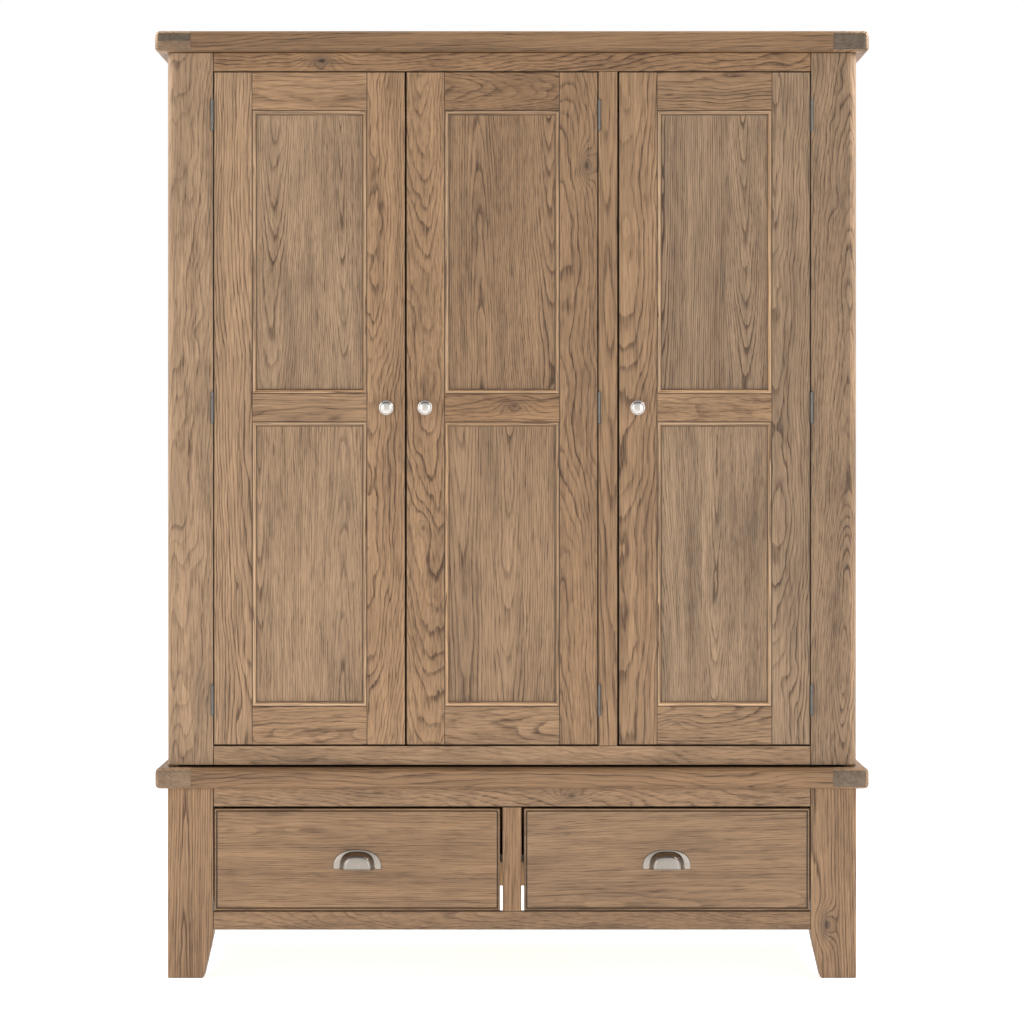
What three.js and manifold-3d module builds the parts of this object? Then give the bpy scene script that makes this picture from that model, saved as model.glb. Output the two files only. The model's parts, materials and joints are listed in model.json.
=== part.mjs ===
// A free-standing oak wardrobe in two stages: a low chest with two drawers, and on it a cupboard
// with three framed doors. Millimetres, +Z up, the front faces -Y, and the origin is on the floor
// under the middle of the wardrobe.
import * as THREE from "three";
import { mergeVertices } from "three/addons/utils/BufferGeometryUtils.js";
import Module from "manifold-3d";

// ---- Overall size ----
const BOARD_W = 1430; // top board and base board
const DEPTH = 600;
const HEIGHT = 1900;
const BODY_W = 1384; // outside of the stiles and of the legs
const FRONT_SETBACK = 26; // boards' front edge to the frame's face
const CORNER_R = 12; // boards' corners, seen from above

// ---- Heights above the floor ----
const LOWER_RAIL_Z = 97;
const LOWER_RAIL_H = 37;
const BASE_BACK_Z = 125;
const UPPER_RAIL_Z = 343.5;
const BASE_BOARD_Z = 382.5;
const BASE_BOARD_T = 41.5;
const SHADOW_GAP = 4.5; // under the cupboard's front frame
const BOTTOM_RAIL_H = 38;
const TOP_RAIL_H = 38;
const TOP_BOARD_T = 41;

// ---- Timber sections ----
const STILE_W = 92; // cupboard stiles and front legs
const MULLION_W = 38;
const FRAME_T = 22;
const PANEL_T = 20; // side panels, partition and floor
const BACK_T = 12;
const LEG_DEPTH = 55;
const REAR_LEG_W = 55;
const LEG_TAPER = 20;
const LEG_TAPER_TOP = 86;

// ---- Doors ----
const DOOR_W = 383;
const HINGE_GAP = 2;
const LOCK_GAP = 3.5;
const DOOR_BOTTOM_GAP = 3;
const DOOR_TOP_GAP = 2;
const DOOR_FRAME_W = 76;
const DOOR_BOTTOM_RAIL_H = 76.5;
const MID_RAIL_Z = 1118;
const MID_RAIL_H = 56;
const DOOR_PANEL_RECESS = 9;
const DOOR_PANEL_T = 9;

// ---- Drawers ----
const DRAWER_BOTTOM_GAP = 2;
const DRAWER_TOP_GAP = 2.5;
const DRAWER_OUTER_GAP = 2;
const DRAWER_INNER_GAP = 5;
const DRAWER_FRONT_T = 20;
const TRAY_SIDE_GAP = 6; // between the front board's end and the tray at the leg
const TRAY_INNER_GAP = 15; // between the centre mullion and the tray
const TRAY_SIDE_T = 12;
const TRAY_BACK_Y = 240;
const TRAY_Z = 150;
const TRAY_H = 175;
const TRAY_FLOOR_Z = 158;
const TRAY_FLOOR_T = 9;
const RUNNER_Z = 231;
const RUNNER_H = 16;
const RUNNER_CLEARANCE = 1.5;
const GROOVE_DEPTH = 7;

// ---- Hanging rail ----
const HANGER_R = 12.5;
const HANGER_Z = 1760;
const HANGER_Y = 20;
const HANGER_HOLE_R = 14;
const FIT_GAP = 0.3;

// ---- Hinges ----
const PIN_INSET = 1.8; // axis to the frame's edge, over the frame
const PIN_PROUD = 3.3; // axis to the frame's face, in front of it
const BARREL_R = 3;
const HINGE_H = 63;
const LEAF_T = 0.9;
const LEAF_DEPTH = 18;
const HINGE_HEIGHTS = { lower: 559, middle: 1146, upper: 1733 };

// ---- Knobs and cup pulls ----
const KNOB_R = 15;
const KNOB_REACH = 25;
const KNOB_INSET = 37; // centre to the door's edge
const PULL_W = 96.5;
const PULL_H = 38.5;
const PULL_PLATE_T = 2;
const CUP_W = 67;
const CUP_REACH = 23;
const CUP_WALL = 2.5;
const CUP_CENTRE_UP = 7; // cup's widest level above its lower edge

// ---- Levels and planes worked out from the sizes above ----
const FACE_Y = -DEPTH / 2 + FRONT_SETBACK;
const FRAME_BACK_Y = FACE_Y + FRAME_T;
const REAR_Y = DEPTH / 2;
const BACK_Y = REAR_Y - BACK_T;
const BODY_X = BODY_W / 2;
const OPENING_X = BODY_X - STILE_W;
const SIDE_IN_X = BODY_X - PANEL_T;
const CUPBOARD_Z = BASE_BOARD_Z + BASE_BOARD_T;
const BOTTOM_RAIL_Z = CUPBOARD_Z + SHADOW_GAP;
const FLOOR_Z = BOTTOM_RAIL_Z + BOTTOM_RAIL_H;
const TOP_BOARD_Z = HEIGHT - TOP_BOARD_T;
const TOP_RAIL_Z = TOP_BOARD_Z - TOP_RAIL_H;
const DOOR_Z = FLOOR_Z + DOOR_BOTTOM_GAP;
const DOOR_TOP_Z = TOP_RAIL_Z - DOOR_TOP_GAP;
const DRAWER_Z = LOWER_RAIL_Z + LOWER_RAIL_H + DRAWER_BOTTOM_GAP;
const DRAWER_TOP_Z = UPPER_RAIL_Z - DRAWER_TOP_GAP;
const CENTRE_DOOR_X = -OPENING_X + HINGE_GAP + DOOR_W + LOCK_GAP;
const MULLION_X = CENTRE_DOOR_X + DOOR_W + HINGE_GAP;
const PARTITION_X = MULLION_X + (MULLION_W - PANEL_T) / 2;
const TRAY_INNER_X = MULLION_W / 2 + TRAY_INNER_GAP;
const TRAY_OUTER_X = OPENING_X - TRAY_SIDE_GAP;

const OAK = { color: 0xa5876a, roughness: 0.6, metalness: 0 };
const PANEL_OAK = { color: 0xb0926f, roughness: 0.6, metalness: 0 };
const DRAWER_OAK = { color: 0xb79a74, roughness: 0.65, metalness: 0 };
const NICKEL = { color: 0x9b9893, roughness: 0.3, metalness: 1 };
const STEEL = { color: 0x8c8b88, roughness: 0.4, metalness: 1 };

const wasm = await Module();
wasm.setup();
const wardrobe = new THREE.Group();

function addPiece(name, geometry, finish) {
  const mesh = new THREE.Mesh(geometry, new THREE.MeshStandardMaterial(finish));
  mesh.name = name;
  wardrobe.add(mesh);
}

// A box from its lowest to its highest corner.
function block(x0, y0, z0, x1, y1, z1) {
  const box = new THREE.BoxGeometry(x1 - x0, y1 - y0, z1 - z0);
  return box.translate((x0 + x1) / 2, (y0 + y1) / 2, (z0 + z1) / 2);
}

// The same box on the other side of the wardrobe when side is -1.
function sidedBlock(side, x0, y0, z0, x1, y1, z1) {
  const ends = [side * x0, side * x1].sort((a, b) => a - b);
  return block(ends[0], y0, z0, ends[1], y1, z1);
}

function toSolid(geometry) {
  const bare = geometry.clone();
  bare.deleteAttribute("normal");
  bare.deleteAttribute("uv");
  const merged = mergeVertices(bare, 1e-4);
  const triVerts = new Uint32Array(merged.index.array);
  const vertProperties = merged.attributes.position.array;
  return new wasm.Manifold(new wasm.Mesh({ numProp: 3, vertProperties, triVerts }));
}

function toGeometry(solid) {
  const { vertProperties, triVerts } = solid.getMesh();
  const geometry = new THREE.BufferGeometry();
  geometry.setAttribute("position", new THREE.BufferAttribute(vertProperties, 3));
  geometry.setIndex(new THREE.BufferAttribute(triVerts, 1));
  return geometry;
}

function join(...geometries) {
  return toGeometry(geometries.map(toSolid).reduce((whole, piece) => whole.add(piece)));
}

function cut(geometry, ...tools) {
  return toGeometry(tools.map(toSolid).reduce((left, tool) => left.subtract(tool), toSolid(geometry)));
}

// A horizontal board as wide and deep as the wardrobe, with rounded corners.
function roundedBoard(z, thickness) {
  const x = BOARD_W / 2;
  const y = DEPTH / 2;
  const r = CORNER_R;
  const outline = new THREE.Shape();
  outline.moveTo(-x + r, -y);
  outline.absarc(x - r, -y + r, r, -Math.PI / 2, 0);
  outline.absarc(x - r, y - r, r, 0, Math.PI / 2);
  outline.absarc(-x + r, y - r, r, Math.PI / 2, Math.PI);
  outline.absarc(-x + r, -y + r, r, Math.PI, 1.5 * Math.PI);
  const board = new THREE.ExtrudeGeometry(outline, {
    depth: thickness,
    bevelEnabled: false,
    curveSegments: 4,
  });
  return board.translate(0, 0, z);
}

// A leg whose inner face leans outwards below the rails. The outline is drawn in X and Z, and the
// leg runs back from frontY.
function leg(side, width, frontY) {
  const inner = BODY_X - width;
  const corners = [
    [BODY_X, 0],
    [BODY_X, BASE_BOARD_Z],
    [inner, BASE_BOARD_Z],
    [inner, LEG_TAPER_TOP],
    [inner + LEG_TAPER, 0],
  ];
  const outline = new THREE.Shape(corners.map(([x, z]) => new THREE.Vector2(side * x, z)));
  const post = new THREE.ExtrudeGeometry(outline, { depth: LEG_DEPTH, bevelEnabled: false });
  return post.rotateX(Math.PI / 2).translate(0, frontY + LEG_DEPTH, 0);
}

// ---- Base ----
function buildBase() {
  addPiece("base_top_board", roundedBoard(BASE_BOARD_Z, BASE_BOARD_T), OAK);
  const legBackY = FACE_Y + LEG_DEPTH;
  const rearLegY = REAR_Y - LEG_DEPTH;
  for (const [word, side] of [["left", -1], ["right", 1]]) {
    addPiece(`${word}_front_leg`, leg(side, STILE_W, FACE_Y), OAK);
    const panel = sidedBlock(side, SIDE_IN_X, legBackY, LOWER_RAIL_Z, BODY_X, rearLegY, BASE_BOARD_Z);
    const runnerIn = TRAY_OUTER_X - GROOVE_DEPTH + RUNNER_CLEARANCE;
    const runnerTop = RUNNER_Z + RUNNER_H;
    const runner = sidedBlock(side, runnerIn, legBackY, RUNNER_Z, SIDE_IN_X, rearLegY, runnerTop);
    addPiece(`${word}_base_side`, join(panel, leg(side, REAR_LEG_W, rearLegY), runner), OAK);
  }
  const x = OPENING_X;
  const lowerTop = LOWER_RAIL_Z + LOWER_RAIL_H;
  addPiece("base_lower_rail", block(-x, FACE_Y, LOWER_RAIL_Z, x, FRAME_BACK_Y, lowerTop), OAK);
  addPiece("base_upper_rail", block(-x, FACE_Y, UPPER_RAIL_Z, x, FRAME_BACK_Y, BASE_BOARD_Z), OAK);
  const half = MULLION_W / 2;
  const post = block(-half, FACE_Y, lowerTop, half, FRAME_BACK_Y, UPPER_RAIL_Z);
  const reach = TRAY_INNER_X + GROOVE_DEPTH - RUNNER_CLEARANCE;
  const runner = block(-reach, FRAME_BACK_Y, RUNNER_Z, reach, BACK_Y, RUNNER_Z + RUNNER_H);
  addPiece("base_mullion_and_runner", join(post, runner), OAK);
  const backX = BODY_X - REAR_LEG_W;
  addPiece("base_back", block(-backX, BACK_Y, BASE_BACK_Z, backX, REAR_Y, BASE_BOARD_Z), DRAWER_OAK);
}

// ---- Cupboard carcass ----
function buildCarcass() {
  addPiece("top_board", roundedBoard(TOP_BOARD_Z, TOP_BOARD_T), OAK);
  for (const [word, side] of [["left", -1], ["right", 1]]) {
    const stile = [OPENING_X, FACE_Y, BOTTOM_RAIL_Z, BODY_X, FRAME_BACK_Y, TOP_BOARD_Z];
    addPiece(`${word}_stile`, sidedBlock(side, ...stile), OAK);
    const panel = [SIDE_IN_X, FRAME_BACK_Y, CUPBOARD_Z, BODY_X, REAR_Y, TOP_BOARD_Z];
    addPiece(`${word}_side_panel`, sidedBlock(side, ...panel), OAK);
  }
  const x = OPENING_X;
  addPiece("top_rail", block(-x, FACE_Y, TOP_RAIL_Z, x, FRAME_BACK_Y, TOP_BOARD_Z), OAK);
  addPiece("bottom_rail", block(-x, FACE_Y, BOTTOM_RAIL_Z, x, FRAME_BACK_Y, FLOOR_Z), OAK);
  const mullionEnd = MULLION_X + MULLION_W;
  addPiece("mullion", block(MULLION_X, FACE_Y, FLOOR_Z, mullionEnd, FRAME_BACK_Y, TOP_RAIL_Z), OAK);
  const inX = SIDE_IN_X;
  addPiece("floor_board", block(-inX, FRAME_BACK_Y, FLOOR_Z - PANEL_T, inX, BACK_Y, FLOOR_Z), OAK);
  addPiece("back_panel", block(-inX, BACK_Y, BOTTOM_RAIL_Z, inX, REAR_Y, TOP_BOARD_Z), DRAWER_OAK);
  const partitionEnd = PARTITION_X + PANEL_T;
  const partition = block(PARTITION_X, FRAME_BACK_Y, FLOOR_Z, partitionEnd, BACK_Y, TOP_BOARD_Z);
  const hole = rodAlongX(HANGER_HOLE_R, 2 * BODY_W);
  addPiece("partition", cut(partition, hole), OAK);
  addPiece("hanging_rail", rodAlongX(HANGER_R, 2 * (SIDE_IN_X - FIT_GAP)), STEEL);
}

function rodAlongX(radius, length) {
  const rod = new THREE.CylinderGeometry(radius, radius, length, 20);
  return rod.rotateZ(Math.PI / 2).translate(0, HANGER_Y, HANGER_Z);
}

// ---- Doors ----
// A mushroom knob that points to -Y: a rose, a neck and a shallow dome.
function knob(x, z) {
  const profile = [
    [0, 0],
    [8.5, 0],
    [8.5, 1.5],
    [5.5, 4],
    [5.5, 11],
    [KNOB_R - 1.5, 16],
    [KNOB_R, 18],
  ];
  const domeSteps = 5;
  const domeStart = profile.at(-1)[1];
  for (let i = 1; i <= domeSteps; i++) {
    const turn = (i / domeSteps) * (Math.PI / 2);
    const reach = domeStart + (KNOB_REACH - domeStart) * Math.sin(turn);
    profile.push([i === domeSteps ? 0 : KNOB_R * Math.cos(turn), reach]);
  }
  const points = profile.map(([r, reach]) => new THREE.Vector2(r, reach));
  return new THREE.LatheGeometry(points, 24).rotateX(Math.PI).translate(x, FACE_Y, z);
}

// The leaf let into the frame's edge, with the barrel on it. side is 1 where the frame is on +X.
function hinge(side, frameEdgeX, z) {
  const pinY = FACE_Y - PIN_PROUD;
  const barrel = new THREE.CylinderGeometry(BARREL_R, BARREL_R, HINGE_H, 16);
  barrel.rotateX(Math.PI / 2).translate(frameEdgeX + side * PIN_INSET, pinY, z);
  const near = frameEdgeX - side * FIT_GAP;
  const far = near - side * LEAF_T;
  const x0 = Math.min(near, far);
  const x1 = Math.max(near, far);
  const half = HINGE_H / 2;
  return join(barrel, block(x0, pinY, z - half, x1, pinY + LEAF_DEPTH, z + half));
}

// A framed door with two flat panels; side is 1 where its hinges are on the right.
function buildDoor(word, x0, side) {
  const x1 = x0 + DOOR_W;
  const hingeEdge = side > 0 ? x1 : x0;
  const lockEdge = side > 0 ? x0 : x1;
  const board = (name, xa, za, xb, zb) => {
    const ends = [xa, xb].sort((a, b) => a - b);
    addPiece(`${word}_door_${name}`, block(ends[0], FACE_Y, za, ends[1], FRAME_BACK_Y, zb), OAK);
  };
  board("hinge_stile", hingeEdge, DOOR_Z, hingeEdge - side * DOOR_FRAME_W, DOOR_TOP_Z);
  board("lock_stile", lockEdge, DOOR_Z, lockEdge + side * DOOR_FRAME_W, DOOR_TOP_Z);
  const inX0 = x0 + DOOR_FRAME_W;
  const inX1 = x1 - DOOR_FRAME_W;
  const bottomTop = DOOR_Z + DOOR_BOTTOM_RAIL_H;
  const midTop = MID_RAIL_Z + MID_RAIL_H;
  const topRail = DOOR_TOP_Z - DOOR_FRAME_W;
  board("bottom_rail", inX0, DOOR_Z, inX1, bottomTop);
  board("middle_rail", inX0, MID_RAIL_Z, inX1, midTop);
  board("top_rail", inX0, topRail, inX1, DOOR_TOP_Z);
  const panelY = FACE_Y + DOOR_PANEL_RECESS;
  for (const [name, za, zb] of [["lower", bottomTop, MID_RAIL_Z], ["upper", midTop, topRail]]) {
    const panel = block(inX0, panelY, za, inX1, panelY + DOOR_PANEL_T, zb);
    addPiece(`${word}_door_${name}_panel`, panel, PANEL_OAK);
  }
  const knobZ = MID_RAIL_Z + MID_RAIL_H / 2;
  addPiece(`${word}_door_knob`, knob(lockEdge + side * KNOB_INSET, knobZ), NICKEL);
  const frameEdge = hingeEdge + side * HINGE_GAP;
  for (const [level, z] of Object.entries(HINGE_HEIGHTS)) {
    addPiece(`${word}_door_${level}_hinge`, hinge(side, frameEdge, z), STEEL);
  }
}

// ---- Drawers ----
// A half-round plate with a hollow cup on it that is open underneath.
function cupPull(x, z) {
  const bottom = z - PULL_H / 2;
  const outline = new THREE.Shape();
  outline.absellipse(0, 0, PULL_W / 2, PULL_H, 0, Math.PI);
  const plate = new THREE.ExtrudeGeometry(outline, {
    depth: PULL_PLATE_T,
    bevelEnabled: false,
    curveSegments: 24,
  });
  plate.rotateX(Math.PI / 2).translate(x, FACE_Y, bottom);
  const dome = (inset) => {
    const ball = new THREE.SphereGeometry(1, 28, 14);
    const height = PULL_H - CUP_CENTRE_UP - 3 - inset;
    ball.scale(CUP_W / 2 - inset, CUP_REACH - inset, height);
    return ball.translate(x, FACE_Y, bottom + CUP_CENTRE_UP);
  };
  const around = 2 * PULL_W;
  const below = block(x - around, -DEPTH, bottom - around, x + around, DEPTH, bottom);
  const behind = block(x - around, FACE_Y, bottom - around, x + around, DEPTH, bottom + around);
  const shell = cut(dome(0), dome(CUP_WALL), below, behind);
  return join(plate, shell);
}

function buildDrawer(word, side) {
  const frontY = FACE_Y + DRAWER_FRONT_T;
  const inner = MULLION_W / 2 + DRAWER_INNER_GAP;
  const outer = OPENING_X - DRAWER_OUTER_GAP;
  const front = [inner, FACE_Y, DRAWER_Z, outer, frontY, DRAWER_TOP_Z];
  addPiece(`${word}_drawer_front`, sidedBlock(side, ...front), OAK);

  const x0 = TRAY_INNER_X;
  const x1 = TRAY_OUTER_X;
  const top = TRAY_Z + TRAY_H;
  const floorTop = TRAY_FLOOR_Z + TRAY_FLOOR_T;
  const grooveZ = RUNNER_Z - RUNNER_CLEARANCE;
  const grooveTop = RUNNER_Z + RUNNER_H + RUNNER_CLEARANCE;
  const whole = sidedBlock(side, x0, frontY, TRAY_Z, x1, TRAY_BACK_Y, top);
  const past = TRAY_SIDE_T;
  const inX0 = x0 + TRAY_SIDE_T;
  const inX1 = x1 - TRAY_SIDE_T;
  const inBack = TRAY_BACK_Y - TRAY_SIDE_T;
  const inside = sidedBlock(side, inX0, frontY - past, floorTop, inX1, inBack, top + past);
  const under = [inX0, frontY - past, TRAY_Z - past, inX1, TRAY_BACK_Y + past, TRAY_FLOOR_Z];
  const grooves = [
    [x0 - past, x0 + GROOVE_DEPTH],
    [x1 - GROOVE_DEPTH, x1 + past],
  ].map(([a, b]) => sidedBlock(side, a, frontY - past, grooveZ, b, TRAY_BACK_Y + past, grooveTop));
  const tray = cut(whole, inside, sidedBlock(side, ...under), ...grooves);
  addPiece(`${word}_drawer_tray`, tray, DRAWER_OAK);

  const middle = (side * (inner + outer)) / 2;
  addPiece(`${word}_drawer_cup_pull`, cupPull(middle, (DRAWER_Z + DRAWER_TOP_Z) / 2), NICKEL);
}

buildBase();
buildCarcass();
buildDoor("left", -OPENING_X + HINGE_GAP, -1);
buildDoor("centre", CENTRE_DOOR_X, 1);
buildDoor("right", MULLION_X + MULLION_W + LOCK_GAP, 1);
buildDrawer("left", -1);
buildDrawer("right", 1);

export default wardrobe;
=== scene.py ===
"""An oak wardrobe, three framed doors over two drawers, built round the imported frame. Metres."""

import bisect
import json
import math
import random
from collections import namedtuple

import bmesh
import bpy
import numpy as np
from mathutils import Matrix, Vector


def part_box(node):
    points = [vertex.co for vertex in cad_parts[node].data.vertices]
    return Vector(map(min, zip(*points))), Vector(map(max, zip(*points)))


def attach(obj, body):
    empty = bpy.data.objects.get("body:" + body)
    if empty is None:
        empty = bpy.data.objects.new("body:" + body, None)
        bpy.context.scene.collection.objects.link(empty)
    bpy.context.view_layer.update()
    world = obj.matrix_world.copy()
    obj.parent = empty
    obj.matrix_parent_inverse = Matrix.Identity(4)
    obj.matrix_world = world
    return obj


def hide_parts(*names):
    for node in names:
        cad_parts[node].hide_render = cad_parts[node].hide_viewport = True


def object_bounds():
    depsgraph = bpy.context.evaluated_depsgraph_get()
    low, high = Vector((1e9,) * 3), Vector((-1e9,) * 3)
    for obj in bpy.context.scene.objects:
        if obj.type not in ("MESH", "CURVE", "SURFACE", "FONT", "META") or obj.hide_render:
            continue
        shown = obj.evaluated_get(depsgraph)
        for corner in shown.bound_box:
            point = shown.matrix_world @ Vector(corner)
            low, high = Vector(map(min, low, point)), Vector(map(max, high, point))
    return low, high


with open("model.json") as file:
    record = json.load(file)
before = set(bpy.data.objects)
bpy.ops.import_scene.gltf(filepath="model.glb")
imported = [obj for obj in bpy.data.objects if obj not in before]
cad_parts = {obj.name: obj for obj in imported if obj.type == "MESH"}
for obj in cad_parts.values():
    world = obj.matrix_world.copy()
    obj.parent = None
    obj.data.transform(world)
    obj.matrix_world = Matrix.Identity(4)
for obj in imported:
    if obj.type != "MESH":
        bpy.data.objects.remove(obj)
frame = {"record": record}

cad_low, cad_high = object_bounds()
record = frame["record"]
BODY_OF = {n: body for body, nodes in record["behaviour"]["bodies"].items() for n in nodes}

MM = 0.001
DOORS = {"left": -1, "centre": 1, "right": 1}  # the side that the hinges are on
LEVELS = ("lower", "middle", "upper")

# ---- Camera ----
CAMERA_DISTANCE = 8.0  # from the boards' front edges
EYE_HEIGHT = 1.054
LENS_MM = 140.54
PITCH_DEG = 0.252
SHIFT_Y = -0.04

# ---- Timber details ----
EDGE_SOFT = 0.8 * MM
CLEAT_W = 72 * MM
BOARD_TOP_ROUND = 10 * MM
BOARD_BOTTOM_ROUND = 8 * MM
BOARD_CORNER_R = 12 * MM
SLAB_PLANK = 0.12
CLEAT_SOFT = (0.4 * MM, 1, 70)  # width, segments, and the sharpest angle left alone
ROUND_STEPS = 6
STILE_ROUND = 18 * MM
SIDE_PLANK = 0.125
INNER_PLANK = 0.13
BACK_PLANK = 0.096
BACK_CHAMFER = 1.2 * MM
LEG_ROUND = 6 * MM
LEG_TAPER = 20 * MM
LEG_TAPER_TOP = 86 * MM
TOE_ROUND = 4 * MM
FRAME_JOINT = 0.7 * MM  # open lines where rails meet posts
DOOR_JOINT = 0.25 * MM
DOOR_PLANK = 0.1
PANEL_SOFT = 0.2 * MM
SHADOW_GAP = 0.9 * MM  # between the top board and what stands under it
DRAWER_GAP_EXTRA = 1.5 * MM  # above the drawer fronts
BASE_PANEL_T = 20 * MM
BASE_PANEL_JOINT = 0.46  # how far up the panel its two boards meet
BASE_MULLION_W = 38 * MM
RUNNER_LEVELS = (231 * MM, 247 * MM)


# ---- Materials ----
def srgb(red, green, blue):
    """An 8-bit colour as linear RGBA."""

    def linear(value):
        value /= 255
        return value / 12.92 if value <= 0.04045 else ((value + 0.055) / 1.055) ** 2.4

    return (linear(red), linear(green), linear(blue), 1.0)


def feed(tree, made, inputs):
    """Sets or links each of a node's inputs."""
    for key, value in inputs.items():
        if isinstance(value, bpy.types.NodeSocket):
            tree.links.new(value, made.inputs[key])
        else:
            made.inputs[key].default_value = value
    return made


def add_node(tree, kind, inputs=None, **settings):
    """A shader node with its settings made and its inputs set or linked."""
    made = tree.nodes.new("ShaderNode" + kind)
    for key, value in settings.items():
        setattr(made, key, value)
    return feed(tree, made, inputs or {})


def maths(tree, operation, a, b=0.0, clamp=False):
    return add_node(tree, "Math", {0: a, 1: b}, operation=operation, use_clamp=clamp).outputs[0]


def noise(tree, vector, stretch, detail=2.0, roughness=0.5):
    """Noise from 0 to 1, with its own number of cells in a metre along each axis of vector."""
    scaled = add_node(tree, "VectorMath", {0: vector, 1: stretch}, operation="MULTIPLY").outputs[0]
    inputs = {"Vector": scaled, "Scale": 1.0, "Detail": detail, "Roughness": roughness}
    return add_node(tree, "TexNoise", inputs).outputs["Fac"]


def spread(tree, value, low, high, to_low=0.0, to_high=1.0):
    """value's stretch from low to high, as to_low to to_high."""
    inputs = {"Value": value, "From Min": low, "From Max": high, "To Min": to_low, "To Max": to_high}
    return add_node(tree, "MapRange", inputs).outputs[0]


def mix_colour(tree, factor, a, b, blend="MIX"):
    return add_node(tree, "Mix", {0: factor, 6: a, 7: b}, data_type="RGBA", blend_type=blend).outputs[2]


def ramp(tree, value, stops):
    made = add_node(tree, "ValToRGB", {"Fac": value})
    elements = made.color_ramp.elements
    while len(elements) < len(stops):
        elements.new(0.5)
    for element, (place, level) in zip(elements, stops):
        element.position = place
        element.color = (level, level, level, 1.0)
    return made.outputs["Color"]


def new_material(name):
    material = bpy.data.materials.new(name)
    material.use_nodes = True
    tree = material.node_tree
    return material, tree, tree.nodes["Principled BSDF"]


def product(tree, *factors, clamp=False):
    """All the factors multiplied together."""
    result = factors[0]
    for factor in factors[1:]:
        result = maths(tree, "MULTIPLY", result, factor, clamp and factor is factors[-1])
    return result


def attribute(tree, name, output):
    return add_node(tree, "Attribute", attribute_name=name).outputs[output]


def wobble(tree, vector, stretch, size, detail=1.0):
    """Noise of about plus or minus size."""
    centred = maths(tree, "SUBTRACT", noise(tree, vector, stretch, detail), 0.5)
    return maths(tree, "MULTIPLY", centred, size * WOBBLE_REACH)


def knot_field(tree, wood):
    """How far off the knot each point is, how dark the knot is, and how far it pushes the rings."""
    knot = attribute(tree, "knot", "Vector")
    dark = add_node(tree, "SeparateXYZ", {0: knot}).outputs["Z"]
    flat = add_node(tree, "VectorMath", {0: knot, 1: (1.0, 0.5, 0.0)}, operation="MULTIPLY").outputs[0]
    far = add_node(tree, "VectorMath", {0: flat}, operation="LENGTH").outputs["Value"]
    far = maths(tree, "ADD", far, wobble(tree, wood, (120, 120, 60), 1.2 * MM))
    near = spread(tree, far, 0.0, KNOT_REACH, 1.0, 0.0)
    push = product(tree, maths(tree, "POWER", near, 2.0), KNOT_PUSH)
    return far, dark, product(tree, push, product(tree, dark, 1.6, clamp=True))


def ring_lines(tree, wood, figure, push):
    """The dark line of each growth ring, broken up along the grain."""
    flat = add_node(tree, "VectorMath", {0: wood, 1: (1.0, 1.0, 0.0)}, operation="MULTIPLY").outputs[0]
    radius = add_node(tree, "VectorMath", {0: flat}, operation="LENGTH").outputs["Value"]
    sway = wobble(tree, wood, (3.2, 3.2, 1.5), 20 * MM)
    wave = wobble(tree, wood, (18, 18, 6.5), 6.2 * MM, 2.0)
    jag = wobble(tree, wood, (240, 240, 26), 0.55 * MM, 2.0)
    bend = product(tree, maths(tree, "ADD", sway, wave), figure)
    ring = maths(tree, "ADD", maths(tree, "ADD", radius, bend), maths(tree, "ADD", jag, push))
    ring = maths(tree, "DIVIDE", ring, RING_WIDTH)
    line = ramp(tree, maths(tree, "FRACT", ring), RING_SHADE)
    number = {"W": product(tree, ring, 0.41), "Scale": 1.0, "Detail": 1.0}
    vary = add_node(tree, "TexNoise", number, noise_dimensions="1D").outputs["Fac"]
    dash = spread(tree, noise(tree, wood, (500, 500, 12), 1.0), 0.36, 0.6, 0.6, 1.0)
    return product(tree, line, spread(tree, vary, 0.36, 0.7, 0.35, 1.0), dash)


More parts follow.
